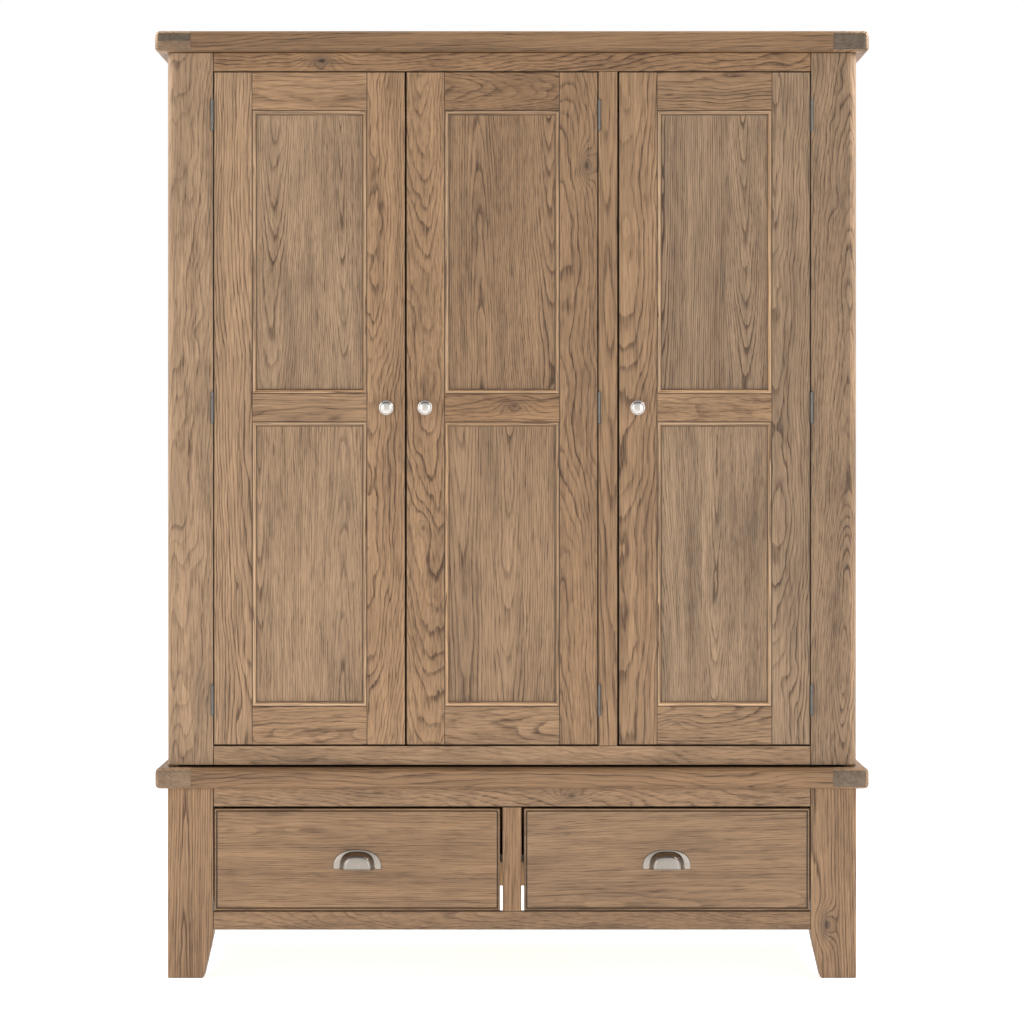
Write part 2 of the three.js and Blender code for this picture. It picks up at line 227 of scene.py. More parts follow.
def oak_material(name, light, dark, grey, line_depth=1.0):
    """Sawn oak: growth rings round the pith, open pores along the grain and slow changes of colour.

    The corner attribute "wood" says where in its log each point lies, with the pith along the third
    axis. "tone" holds lightness, which also carries painted shade and painted highlights on some
    edges, greyness, end grain and how wild the figure is. "contrast" is the strength of the ring
    lines. "knot" is how far off the board's knot is, across and along, and how dark it is."""
    material, tree, shader = new_material(name)
    wood = attribute(tree, "wood", "Vector")
    tone = add_node(tree, "Attribute", attribute_name="tone").outputs
    lightness, greyness, end_grain = add_node(tree, "SeparateColor", {0: tone["Color"]}).outputs
    knot_far, knot_dark, push = knot_field(tree, wood)
    line = ring_lines(tree, wood, tone["Alpha"], push)

    depth = product(tree, line, attribute(tree, "contrast", "Fac"), LINE_DEPTH * line_depth)
    layers = {}
    for layer, (across, along, detail, roughness, low, high, weight) in GRAIN_LAYERS.items():
        value = noise(tree, wood, (across, across, along), detail, roughness)
        layers[layer] = spread(tree, value, low, high)
        depth = maths(tree, "ADD", depth, product(tree, layers[layer], weight))
    colour = mix_colour(tree, depth, light, dark)
    greyed = product(tree, layers["patch"], product(tree, greyness, 0.25), clamp=True)
    colour = mix_colour(tree, greyed, colour, grey)
    colour = mix_colour(tree, 1.0, colour, mix_colour(tree, greyness, WARM_TINT, COOL_TINT), "MULTIPLY")

    mottle = spread(tree, noise(tree, wood, (130, 130, 20), 2.0, 0.6), 0.35, 0.65, 0.0, 0.6)
    end = mix_colour(tree, maths(tree, "ADD", product(tree, line, 0.5), mottle), END_LIGHT, END_DARK)
    colour = mix_colour(tree, product(tree, end_grain, 0.9), colour, end)
    halo = product(tree, spread(tree, knot_far, 3 * MM, 22 * MM, 1.0, 0.0), knot_dark)
    colour = mix_colour(tree, product(tree, halo, 0.55), colour, END_DARK)
    core = product(tree, spread(tree, knot_far, 2.2 * MM, 4.8 * MM, 1.0, 0.0), knot_dark, clamp=True)
    colour = mix_colour(tree, core, colour, KNOT_COLOUR)
    bright = add_node(tree, "VectorMath", {0: colour, "Scale": lightness}, operation="SCALE").outputs[0]

    relief = maths(tree, "ADD", product(tree, line, 0.7), product(tree, layers["fibre"], 0.3))
    bump = add_node(tree, "Bump", {"Height": relief, "Distance": 0.3 * MM, "Strength": 0.5}, invert=True)
    rough = maths(tree, "ADD", product(tree, layers["fibre"], 0.12), OAK_ROUGHNESS)
    feed(tree, shader, {"Base Color": bright, "Roughness": rough, "Specular IOR Level": 0.35,
                        "Coat Weight": 0.15, "Coat Roughness": 0.3, "Normal": bump.outputs[0]})
    return material


def metal_material(name, colour, roughness, scratch=(900, 900, 900)):
    """Brushed or polished metal with a faint uneven gloss."""
    material, tree, shader = new_material(name)
    place = add_node(tree, "TexCoord").outputs["Object"]
    smear = noise(tree, place, (120, 120, 120), 3.0, 0.6)
    brush = noise(tree, place, scratch, 2.0, 0.6)
    dull = tuple(c * 0.72 for c in colour[:3]) + (1.0,)
    tint = mix_colour(tree, spread(tree, smear, 0.3, 0.7, 0.0, 0.35), colour, dull)
    rough = spread(tree, maths(tree, "ADD", smear, brush), 0.7, 1.3, roughness * 0.8, roughness * 1.3)
    bump = add_node(tree, "Bump", {"Height": brush, "Distance": 0.05 * MM, "Strength": 0.35})
    feed(tree, shader, {"Base Color": tint, "Metallic": 1.0, "Roughness": rough, "Normal": bump.outputs[0]})
    return material


OAK_LIGHT = srgb(188, 155, 121)
OAK_DARK = srgb(78, 54, 34)
OAK_GREY = srgb(116, 98, 78)
WARM_TINT = (1.0, 0.88, 0.73, 1.0)
COOL_TINT = (1.0, 1.015, 1.03, 1.0)
END_LIGHT = srgb(136, 118, 98)
END_DARK = srgb(88, 72, 57)
KNOT_COLOUR = srgb(62, 44, 32)
LINE_DEPTH = 0.78
OAK_ROUGHNESS = 0.5
RING_WIDTH = 4.4 * MM
RING_SHADE = ((0.0, 1.0), (0.12, 0.8), (0.28, 0.18), (0.6, 0.03), (0.93, 0.0), (1.0, 1.0))
KNOT_REACH = 34 * MM
KNOT_PUSH = 26 * MM
WOBBLE_REACH = 2.6  # noise seldom strays more than a fifth from its middle
GRAIN_LAYERS = {
    # Cells in a metre across and along the grain, detail, roughness, the noise's range and its weight.
    "fibre": (480, 10, 3.0, 0.7, 0.36, 0.64, 0.2),
    "thread": (430, 3.2, 1.0, 0.5, 0.5, 0.6, 0.16),
    "pores": (560, 22, 1.0, 0.5, 0.54, 0.68, 0.22),
    "streak": (95, 2.2, 2.0, 0.55, 0.3, 0.7, 0.18),
    "band": (20, 1.3, 2.0, 0.55, 0.32, 0.68, 0.2),
    "patch": (26, 4.2, 3.0, 0.6, 0.46, 0.66, 0.1),
}
MATERIALS = {
    "oak": oak_material("limed_oak", OAK_LIGHT, OAK_DARK, OAK_GREY),
    "inner": oak_material("plain_oak", srgb(196, 166, 130), srgb(136, 104, 72), OAK_GREY, 0.7),
    "nickel": metal_material("satin_nickel", srgb(206, 200, 194), 0.2),
    "pewter": metal_material("brushed_nickel", srgb(157, 149, 140), 0.31),
    "steel": metal_material("hinge_steel", srgb(112, 109, 105), 0.34, (200, 200, 2500)),
    "chrome": metal_material("polished_steel", srgb(205, 205, 205), 0.12),
}


# ---- Making pieces ----
Style = namedtuple("Style", "figure pith_depth pith_side lean grey light vary ring_size",
                   defaults=(1.0, 0.05, 1.0))
STYLES = {
    # How each kind of board was sawn: how wild its figure is, where the pith lies and its tone.
    "panel": Style(0.55, (0.014, 0.04), 0.06, 0.03, 0.3, ring_size=0.85),
    "stile": Style(1.2, (0.035, 0.08), 0.05, 0.05, 0.8),
    "post": Style(0.5, (0.01, 0.03), 0.09, 0.02, 0.5),
    "rail": Style(1.1, (0.035, 0.09), 0.05, 0.05, 0.6),
    "drawer": Style(0.5, (0.02, 0.05), 0.12, 0.02, 0.3),
    "plank": Style(0.9, (0.04, 0.12), 0.08, 0.015, 0.5, 1.0, 0.06),
    "bead": Style(0.4, (0.15, 0.25), 0.1, 0.01, 1.2, 0.98, 0.02),
}
BOARDS = {
    # Lightness, greyness and how strong the grain lines are. The rest vary by chance.
    # The lightness is partly each board's own tone and partly painted shade: darker towards the right,
    # towards the top, and on the top rail under the top board's overhang.
    "left_stile": (1.0, 0.8, 0.6),
    "right_stile": (0.765, 0.8, 0.95),
    "mullion": (0.88, 0.25, 0.9),
    "left_door_hinge_stile": (1.08, 0.65, 1.1),
    "left_door_lock_stile": (1.0, 0.3, 0.9),
    "left_door_upper_panel": (0.98, 0.9, 1.0),
    "left_door_lower_panel": (0.96, 0.8, 0.8),
    "left_door_top_rail": (1.02, 0.3, 0.6),
    "left_door_middle_rail": (0.88, 0.4, 0.85),
    "left_door_bottom_rail": (0.91, 0.3, 0.8),
    "centre_door_lock_stile": (0.93, 0.25, 0.9),
    "centre_door_hinge_stile": (0.83, 0.25, 0.85),
    "centre_door_upper_panel": (0.85, 0.4, 1.3),
    "centre_door_lower_panel": (0.86, 0.6, 1.0),
    "centre_door_top_rail": (0.73, 0.0, 0.8),
    "centre_door_middle_rail": (0.85, 0.0, 0.8),
    "centre_door_bottom_rail": (0.92, 0.4, 0.85),
    "right_door_hinge_stile": (0.87, 0.95, 1.05),
    "right_door_lock_stile": (0.9, 0.35, 0.9),
    "right_door_upper_panel": (0.9, 1.0, 1.3),
    "right_door_lower_panel": (0.9, 1.0, 1.1),
    "right_door_top_rail": (0.87, 0.3, 1.1),
    "right_door_middle_rail": (1.0, 0.35, 0.5),
    "right_door_bottom_rail": (0.9, 0.45, 0.9),
    "top_board": (0.71, 0.0, 0.6),
    "top_rail": (0.83, 0.0, 1.0),
    "bottom_rail": (0.97, 0.5, 0.45),
    "base_top_board": (0.71, 0.0, 0.9),
    "base_upper_rail": (0.82, 0.45, 0.7),
    "base_lower_rail": (0.7, 0.25, 0.65),
    "base_mullion": (0.78, 0.0, 0.9),
    "left_drawer_front": (0.76, 0.25, 0.65),
    "right_drawer_front": (0.75, 0.4, 0.55),
    "left_front_leg_post": (0.88, 0.25, 1.1),
    "right_front_leg_post": (0.88, 0.35, 1.1),
}
CREASE_SHADE = 0.55  # painted shade on the narrow softened edges, darkening the creases between boards
CREASE_SHADE_WIDTH = 1.1 * MM  # the widest softened face that gets the painted shade
UNDERSIDE_SHADE = 0.75  # painted shade on round edges that face down
ROUND_EDGE_HIGHLIGHTS = {"right_stile": 1.3}  # painted highlight on a stile's outer round edge
CLEAT_ENDS = {
    # The lightness and the end grain's strength, of the end's upper and lower halves.
    "top_board_left_cleat": ((0.5, 1.0), (0.82, 0.3)),
    "top_board_right_cleat": ((0.55, 1.0), (0.55, 1.0)),
    "base_top_board_left_cleat": ((0.76, 0.35), (0.84, 0.35)),
    "base_top_board_right_cleat": ((0.62, 0.9), (0.68, 0.9)),
}
KNOTS = {
    # Board: the knot's place (x, z), and how dark it is.
    "top_rail": (-0.382, 1.842, 1.0),
    "left_door_hinge_stile": (-0.548, 0.79, 0.12),
    "centre_door_hinge_stile": (0.150, 1.632, 0.8),
    "centre_door_middle_rail": (0.006, 1.150, 0.5),
    "centre_door_lock_stile": (-0.178, 0.905, 0.3),
    "right_door_bottom_rail": (0.33, 0.512, 0.25),
    "right_front_leg_post": (0.632, 0.107, 0.9),
    "left_stile": (-0.640, 1.30, 0.15),
    "right_stile": (0.655, 1.56, 0.2),
    "base_upper_rail": (0.12, 0.366, 0.6),
    "right_drawer_front": (0.11, 0.29, 0.25),
}
NO_KNOT = (9.0, 9.0, 0.0)  # too far off to show


def face_tones(mesh, points, seed, a):
    """Each corner's share of its board's lightness, with painted shade and painted highlights on some edges,
    and whether it is end grain.
    """
    tone = np.zeros((len(mesh.loops), 4), np.float32)
    for polygon in mesh.polygons:
        corners = list(polygon.loop_indices)
        ends = [points[mesh.loops[i].vertex_index] for i in corners]
        longest = max(float(np.abs(p - q).max()) for p, q in zip(ends, ends[1:] + ends[:1]))
        share = 1.0
        if max(abs(n) for n in polygon.normal) < 0.98:
            # Round edges that face down get painted shade.
            under = UNDERSIDE_SHADE if polygon.normal.z < -0.2 else 1.0
            # Narrow softened faces get painted shade, as in a crease.
            narrow = polygon.area / longest < CREASE_SHADE_WIDTH
            # The listed round edges get a painted highlight instead.
            share = CREASE_SHADE if narrow else ROUND_EDGE_HIGHLIGHTS.get(seed, under)
        tone[corners, 0] = share
        tone[corners, 2] = 1.0 if abs(polygon.normal[a]) > 0.8 else 0.0
    return tone


def add_attribute(mesh, name, kind, field, values):
    mesh.attributes.new(name, kind, "CORNER").data.foreach_set(field, values.ravel())


def paint_grain(mesh, seed, along, face, style, joints=()):
    """Gives each face corner its place in the log that its board was sawn from, and its tone.

    along is the grain's axis and face the axis that the wide face looks along. joints are the
    places, across the grain, where one board of a glued-up panel meets the next."""
    style = STYLES[style]
    a, f = "XYZ".index(along), "XYZ".index(face)
    c = 3 - a - f
    points = np.array([vertex.co for vertex in mesh.vertices], np.float32)
    middle = (points.min(0) + points.max(0)) / 2
    corner_point = np.array([loop.vertex_index for loop in mesh.loops])
    wood = np.zeros((len(mesh.loops), 3), np.float32)
    contrast = np.zeros(len(mesh.loops), np.float32)
    tone = face_tones(mesh, points, seed, a)
    rows = {}
    for polygon in mesh.polygons:
        rows.setdefault(bisect.bisect(joints, polygon.center[c]), []).extend(polygon.loop_indices)
    edges = [points[:, c].min(), *joints, points[:, c].max()]
    for index, corners in rows.items():
        chance = random.Random(f"{seed} {index}")
        side = chance.uniform(-style.pith_side, style.pith_side)
        depth = chance.uniform(*style.pith_depth) * chance.choice((-1, 1))
        swing = chance.gauss(0, 0.012)
        rise = chance.choice((-1, 1)) * style.lean * chance.uniform(0.6, 1.6)
        start = chance.uniform(0, 9)
        size = chance.uniform(0.85, 1.2) * style.ring_size
        here = points[corner_point[corners]]
        u = here[:, c] - (edges[index] + edges[index + 1]) / 2
        v = here[:, f] - middle[f]
        w = here[:, a] - middle[a]
        wood[corners, 0] = (u + swing * w + side) / size
        wood[corners, 1] = (v + rise * w + depth) / size
        wood[corners, 2] = (w + start) / size
        own = 1 + chance.uniform(-style.vary, style.vary)
        grey = style.grey * chance.uniform(0.5, 1.2)
        line = 1.0
        if seed in BOARDS:
            own, grey, line = BOARDS[seed]
            own *= 1 + chance.uniform(-0.03, 0.03) * bool(joints)
        tone[corners, 0] *= style.light * own
        tone[corners, 1] = grey
        tone[corners, 3] = style.figure * chance.uniform(0.75, 1.3)
        contrast[corners] = line
    knot = np.tile(np.array(NO_KNOT, np.float32), (len(mesh.loops), 1))
    if seed in KNOTS and face == "Y":
        x, z, dark = KNOTS[seed]
        centre = {0: x, 2: z}
        knot[:, 0] = points[corner_point, c] - centre[c]
        knot[:, 1] = points[corner_point, a] - centre[a]
        knot[:, 2] = dark
    add_attribute(mesh, "knot", "FLOAT_VECTOR", "vector", knot)
    add_attribute(mesh, "wood", "FLOAT_VECTOR", "vector", wood)
    add_attribute(mesh, "tone", "FLOAT_COLOR", "color", tone)
    add_attribute(mesh, "contrast", "FLOAT", "value", contrast)


def shade(mesh):
    """Small rounded faces are smooth, and faces that look straight along an axis stay flat."""
    for polygon in mesh.polygons:
        square = max(abs(n) for n in polygon.normal) > 0.9999
        limit = 2 * MM ** 2 if square else 400 * MM ** 2
        polygon.use_smooth = polygon.area < limit


def scale_tones(mesh, tones):
    """Multiplies the tone of a lofted mesh's faces, in the order that they were made."""
    values = mesh.attributes["tone"].data
    for polygon, tone in zip(mesh.polygons, tones):
        for i in polygon.loop_indices:
            colour = values[i].color
            values[i].color = (colour[0] * tone, *colour[1:])


def add_object(name, data):
    made = bpy.data.objects.new(name, data)
    bpy.context.scene.collection.objects.link(made)
    return made


def place(bm, name, node, material, nodes=(), smooth=False, body=None):
    """Turns a bmesh into a piece with a CAD node's body, which stands for some nodes."""
    bmesh.ops.remove_doubles(bm, verts=bm.verts, dist=1e-6)
    bmesh.ops.recalc_face_normals(bm, faces=bm.faces)
    mesh = bpy.data.meshes.new(name)
    bm.to_mesh(mesh)
    bm.free()
    mesh.materials.append(MATERIALS[material])
    if smooth:
        mesh.shade_smooth()
        mesh.set_sharp_from_angle(angle=math.radians(38))
    else:
        shade(mesh)
    piece = add_object(name, mesh)
    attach(piece, body or BODY_OF[node])
    if nodes:
        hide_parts(*nodes)
    return mesh


def timber(bm, name, node, grain, nodes=(), seed=None, joints=(), material="oak", smooth=False):
    """Places a piece of wood and paints it. grain is the grain's axis, the wide face's and a style."""
    mesh = place(bm, name, node, material, nodes, smooth)
    paint_grain(mesh, seed or name, *grain, joints)
    return mesh


def box_mesh(low, high):
    bm = bmesh.new()
    size = [h - l for l, h in zip(low, high)]
    middle = [(h + l) / 2 for l, h in zip(low, high)]
    bmesh.ops.create_cube(bm, size=1.0, matrix=Matrix.Translation(middle) @ Matrix.Diagonal((*size, 1)))
    return bm


def round_edges(bm, wanted, radius, segments=6):
    """Rounds the edges for which wanted(middle, direction) is true."""
    picked = []
    for edge in bm.edges:
        a, b = (v.co for v in edge.verts)
        if wanted((a + b) / 2, (b - a).normalized()):
            picked.append(edge)
    bmesh.ops.bevel(bm, geom=picked, offset=radius, segments=segments, profile=0.5, affect="EDGES")


def upright_at(x, y=None):
    """Picks the upright edges at x, or only those that are also at y."""

    def wanted(middle, direction):
        there = abs(middle.x - x) < MM and (y is None or abs(middle.y - y) < MM)
        return there and abs(direction.z) > 0.99

    return wanted


def soften(bm, width=EDGE_SOFT, segments=2, angle=50):
    """Takes the sharpness off every edge."""
    sharp = [e for e in bm.edges if len(e.link_faces) == 2 and e.calc_face_angle() > math.radians(angle)]
    bmesh.ops.bevel(bm, geom=sharp, offset=width, segments=segments, profile=0.5, affect="EDGES",
                    clamp_overlap=True)


def unit(axis):
    return Vector([float(name == axis) for name in "XYZ"])


def cut_plane(bm, axis, level, side=1, clear=False):
    geometry = bm.verts[:] + bm.edges[:] + bm.faces[:]
    return bmesh.ops.bisect_plane(bm, geom=geometry, dist=1e-7, plane_co=unit(axis) * level,
                                  plane_no=unit(axis) * side, clear_outer=clear)


def split_at(bm, axis, places):
    """Adds an edge loop at each place, so that boards glued side by side can differ."""
    for level in places:
        cut_plane(bm, axis, level)


def cut_beyond(bm, axis, level, side):
    """Cuts off what lies beyond level, on that side, and closes the cut."""
    cut = cut_plane(bm, axis, level, side, True)
    rim = [g for g in cut["geom_cut"] if isinstance(g, bmesh.types.BMEdge)]
    bmesh.ops.contextual_create(bm, geom=rim)


def even_joints(low, high, width, seed, vary=0.12):
    """Places that split low to high into boards of about that width, none quite alike."""
    count = max(1, round((high - low) / width))
    chance = random.Random(seed)
    step = (high - low) / count
    return [low + step * (i + chance.uniform(-vary, vary)) for i in range(1, count)]


def board(node, along, face, style, name=None, rounds=(), joints=(), soft=EDGE_SOFT,
          short=0.0, above=0.0, below=0.0):
    """A plain board in the place of a CAD node, with softened edges and grain.

    It stops short of the node at both ends, and leaves gaps above and below."""
    low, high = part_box(node)
    low = low + unit("Z") * below + unit(along) * short
    high = high - unit("Z") * above - unit(along) * short
    bm = box_mesh(low, high)
    for wanted, radius in rounds:
        round_edges(bm, wanted, radius)
    soften(bm, soft)
    across = "XYZ"[3 - "XYZ".index(along) - "XYZ".index(face)]
    split_at(bm, across, joints)
    timber(bm, name or node.replace("_panel", "_board"), node, (along, face, style), [node], node, joints)


def inner_board(name, node, low, high, *grain):
    """A plain board that shares its CAD node with others."""
    bm = box_mesh(low, high)
    soften(bm)
    timber(bm, name, node, grain, material="inner")


# ---- Boards with rounded edges ----
def rounded_loop(low, high, inset, radius, steps, z):
    """A rounded rectangle's points, inset from the box's outline, at height z."""
    x0, y0, x1, y1 = low[0] + inset, low[1] + inset, high[0] - inset, high[1] - inset
    r = max(radius - inset, 0.2 * MM)
    points = []
    corners = ((x1 - r, y0 + r, -90), (x1 - r, y1 - r, 0), (x0 + r, y1 - r, 90), (x0 + r, y0 + r, 180))
    for cx, cy, start in corners:
        for i in range(steps + 1):
            turn = math.radians(start + 90 * i / steps)
            points.append((cx + r * math.cos(turn), cy + r * math.sin(turn), z))
    return points


def loft(bm, loops, close_ends=True):
    """Joins loops of equal length into a skin."""
    rings = [[bm.verts.new(p) for p in loop] for loop in loops]
    for lower, upper in zip(rings, rings[1:]):
        for i in range(len(lower)):
            j = (i + 1) % len(lower)
            bm.faces.new((lower[i], lower[j], upper[j], upper[i]))
    if close_ends:
        bm.faces.new(list(reversed(rings[0])))
        bm.faces.new(rings[-1])
    return rings


def slab_mesh(low, high):
    """The top board or the base board: rounded corners, and generously rounded edges."""
    turns = [math.radians(90 * i / ROUND_STEPS) for i in range(ROUND_STEPS + 1)]
    r = BOARD_BOTTOM_ROUND
    profile = [(r * (1 - math.sin(t)), low[2] + r * (1 - math.cos(t))) for t in turns]
    r = BOARD_TOP_ROUND
    profile += [(r * (1 - math.cos(t)), high[2] - r * (1 - math.sin(t))) for t in turns]
    bm = bmesh.new()
    loft(bm, [rounded_loop(low, high, inset, BOARD_CORNER_R, ROUND_STEPS, z) for inset, z in profile])
    bmesh.ops.recalc_face_normals(bm, faces=bm.faces)
    return bm


def build_slab(node):
    """Planks that run across the wardrobe, between two end cleats whose end grain shows in front."""
    low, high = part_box(node)
    left, right = low[0] + CLEAT_W, high[0] - CLEAT_W
    joints = even_joints(low[1], high[1], SLAB_PLANK, node)
    middle = slab_mesh(low, high)
    cut_beyond(middle, "X", left, -1)
    cut_beyond(middle, "X", right, 1)
    soften(middle, *CLEAT_SOFT)
    split_at(middle, "Y", joints)
    timber(middle, node + "_planks", node, ("X", "Z", "plank"), [node], node, joints)
    middle_z = (low[2] + high[2]) / 2
    for word, level, side in (("left", left, 1), ("right", right, -1)):
        cleat = slab_mesh(low, high)
        cut_beyond(cleat, "X", level, side)
        soften(cleat, *CLEAT_SOFT)
        split_at(cleat, "Z", [middle_z])
        name = f"{node}_{word}_cleat"
        mesh = timber(cleat, name, node, ("Y", "Z", "stile"))
        paint_cleat_end(mesh, CLEAT_ENDS[name], middle_z)


def paint_cleat_end(mesh, ends, middle_z):
    """Sets how light the front end is, and how much end grain shows, above and below the middle."""
    values = mesh.attributes["tone"].data
    for polygon in mesh.polygons:
        if polygon.normal.y > -0.8:
            continue
        light, end = ends[polygon.center.z < middle_z]
        for i in polygon.loop_indices:
            colour = values[i].color
            values[i].color = (colour[0] * light, colour[1], end, colour[3])


def prism(outline, y0, y1):
    """A closed solid from an outline in X and Z."""
    bm = bmesh.new()
    loft(bm, [[(x, y, z) for x, z in outline] for y in (y0, y1)])
    return bm


def build_leg(name, node, side, x_out, width, y0, y1, top):
    """A leg that is straight outside, and leans outwards inside below the rails."""
    inner = x_out - side * width
    outline = [(x_out, 0.0), (x_out, top), (inner, top), (inner, LEG_TAPER_TOP),
               (inner + side * LEG_TAPER, 0.0)]
    bm = prism(outline, y0, y1)
    round_edges(bm, upright_at(x_out), LEG_ROUND)

    def toe(middle, direction):
        return abs(direction.y) > 0.99 and middle.z < MM and abs(middle.x - x_out) > width / 2

    round_edges(bm, toe, TOE_ROUND, 4)
    soften(bm)
    timber(bm, name, node, ("Z", "Y", "post"), [node])


# ---- Carcass and base ----
def build_carcass():
    build_slab("top_board")
    for word, side in (("left", -1), ("right", 1)):
        node = f"{word}_stile"
        low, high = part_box(node)
        x_out = high[0] if side > 0 else low[0]
        board(node, "Z", "Y", "stile", rounds=[(upright_at(x_out, low[1]), STILE_ROUND)], above=SHADOW_GAP)
        node = f"{word}_side_panel"
        build_planks(node, "Z", "X", SIDE_PLANK, node)
    board("top_rail", "X", "Y", "rail", short=FRAME_JOINT, above=SHADOW_GAP)
    board("bottom_rail", "X", "Y", "rail", short=FRAME_JOINT)
    board("mullion", "Z", "Y", "post", short=DOOR_JOINT)
    build_planks("partition", "Z", "X", INNER_PLANK, "partition")
    build_planks("floor_board", "X", "Z", INNER_PLANK, "floor")
    build_back("back_panel", "back_boards")
    build_hanging_rail()


def build_planks(node, along, face, width, seed):
    """A board glued up from planks, which lie side by side from front to back."""
    low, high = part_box(node)
    board(node, along, face, "plank", joints=even_joints(low[1], high[1], width, seed))


def build_back(node, name):
    """Upright boards side by side, each with its edges taken off."""
    low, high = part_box(node)
    joints = even_joints(low[0], high[0], BACK_PLANK, node, 0.0)
    edges = [low[0], *joints, high[0]]
    gap = 0.1 * MM
    planks = []
    for x0, x1 in zip(edges, edges[1:]):
        planks.append(box_mesh((x0 + gap, low[1], low[2]), (x1 - gap, high[1], high[2])))
        soften(planks[-1], BACK_CHAMFER)
    timber(merge(*planks), name, node, ("Z", "Y", "plank"), [node], node, joints, "inner")


def build_base():
    build_slab("base_top_board")
    for word, side in (("left", -1), ("right", 1)):
        build_base_side(word, side)
    board("base_lower_rail", "X", "Y", "rail", short=DOOR_JOINT)
    board("base_upper_rail", "X", "Y", "rail", short=FRAME_JOINT, below=DRAWER_GAP_EXTRA)
    build_centre()
    build_back("base_back", "base_back_boards")


def build_base_side(word, side):
    """Two legs, the panel between them and the drawer's runner."""
    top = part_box("base_top_board")[0][2]
    node = f"{word}_front_leg"
    low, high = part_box(node)
    x_out = high[0] if side > 0 else low[0]
    build_leg(node + "_post", node, side, x_out, high[0] - low[0], low[1], high[1], top)
    node = f"{word}_base_side"
    front, back = high[1], cad_high[1]
    depth = high[1] - low[1]
    build_leg(f"{word}_rear_leg", node, side, x_out, depth, back - depth, back, top)
    rail_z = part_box("base_lower_rail")[0][2]
    panel_in = x_out - side * BASE_PANEL_T
    x0, x1 = sorted((x_out, panel_in))
    bm = box_mesh((x0, front, rail_z), (x1, back - depth, top))
    soften(bm)
    joints = [rail_z + (top - rail_z) * BASE_PANEL_JOINT]
    split_at(bm, "Z", joints)
    timber(bm, f"{word}_base_panel", node, ("Y", "X", "plank"), joints=joints)
    low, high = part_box(node)
    x0, x1 = sorted((panel_in, low[0] if side > 0 else high[0]))
    run_z, run_top = RUNNER_LEVELS
    inner_board(f"{word}_runner", node, (x0, front, run_z), (x1, back - depth, run_top), "Y", "Z", "rail")


def build_centre():
    """The post between the drawers, and behind it their shared runner."""
    node = "base_mullion_and_runner"
    low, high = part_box(node)
    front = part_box("base_lower_rail")[1][1]
    half = BASE_MULLION_W / 2
    bm = box_mesh((-half, low[1], low[2]), (half, front, high[2]))
    soften(bm)
    timber(bm, "base_mullion", node, ("Z", "Y", "post"), [node])
    run_z, run_top = RUNNER_LEVELS
    inner_board("centre_runner", node, (low[0], front, run_z), (high[0], high[1], run_top), "Y", "Z", "rail")


def whole_turn(steps):
    return [2 * math.pi * i / steps for i in range(steps)]


def lathe_mesh(profile, steps, base, direction):
    """Turns (radius, reach) points round a line from base along direction."""
    direction = Vector(direction).normalized()
    turn = Vector((0, 0, 1)).rotation_difference(direction).to_matrix()
    bm = bmesh.new()
    loops = []
    for radius, reach in profile:
        rim = [Vector((radius * math.cos(t), radius * math.sin(t), reach)) for t in whole_turn(steps)]
        loops.append([Vector(base) + turn @ point for point in rim])
    loft(bm, loops)
    return bm


def in_metres(profile):
    return [(a * MM, b * MM) for a, b in profile]


def merge(*meshes):
    """Several bmeshes as one."""
    whole = bmesh.new()
    for bm in meshes:
        mesh = bpy.data.meshes.new("part")
        bm.to_mesh(mesh)
        bm.free()
        whole.from_mesh(mesh)
        bpy.data.meshes.remove(mesh)
    return whole


SOCKET_SECTION = (
    # Beyond the tube's radius and off the wall, in mm.
    (0.3, 0), (12, 0), (12, 2), (11, 3), (3, 3), (2.4, 12), (0.3, 12),
)
TUBE_WALL = 1.2 * MM


def build_hanging_rail():
    node = "hanging_rail"
    low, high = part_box(node)
    middle = (low + high) / 2
    radius = (high[2] - low[2]) / 2
    length = high[0] - low[0]
    inner = radius - TUBE_WALL
    profile = [(inner, 0), (radius, 0), (radius, length), (inner, length)]
    tube = lathe_mesh(profile, 48, (low[0], middle[1], middle[2]), (1, 0, 0))
    place(tube, "hanging_tube", node, "chrome", [node], smooth=True)
    part_low, part_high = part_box("partition")
    ends = {
        "left_rail_socket": (low[0], 1),
        "partition_left_socket": (part_low[0], -1),
        "partition_right_socket": (part_high[0], 1),
        "right_rail_socket": (high[0], -1),
    }
    profile = [(radius + a * MM, b * MM) for a, b in SOCKET_SECTION]
    for name, (x, way) in ends.items():
        socket = lathe_mesh(profile, 40, (x, middle[1], middle[2]), (way, 0, 0))
        place(socket, name, node, "chrome", smooth=True)


# ---- Doors ----
BEAD_SECTION = (
    # Inset from the frame's edge and depth below the frame's face, in mm, and the tone from there on:
    # painted shade in the outer quirk and the inner crease, and a painted highlight on the ridge.
    (0.0, 9.0, 0.5), (0.0, 2.2, 0.5), (0.8, 2.2, 0.8), (1.1, 0.8, 1.2), (1.7, 0.3, 1.25),
    (2.9, 0.0, 1.3), (4.0, 0.2, 1.45), (5.0, 0.9, 1.5), (6.0, 2.0, 1.45), (7.0, 3.5, 1.25),
    (7.8, 5.2, 0.9), (8.3, 6.6, 0.5), (8.6, 8.7, 0.45), (10.0, 8.8, 0.55), (10.0, 9.0, 0.5),
)
# Painted light on each side's bead, most on the bottom bead, whose slopes face up towards the dark ceiling.
BEAD_SIDE_LIGHT = {"bottom": 1.3, "right": 1.0, "top": 1.0, "left": 1.05}


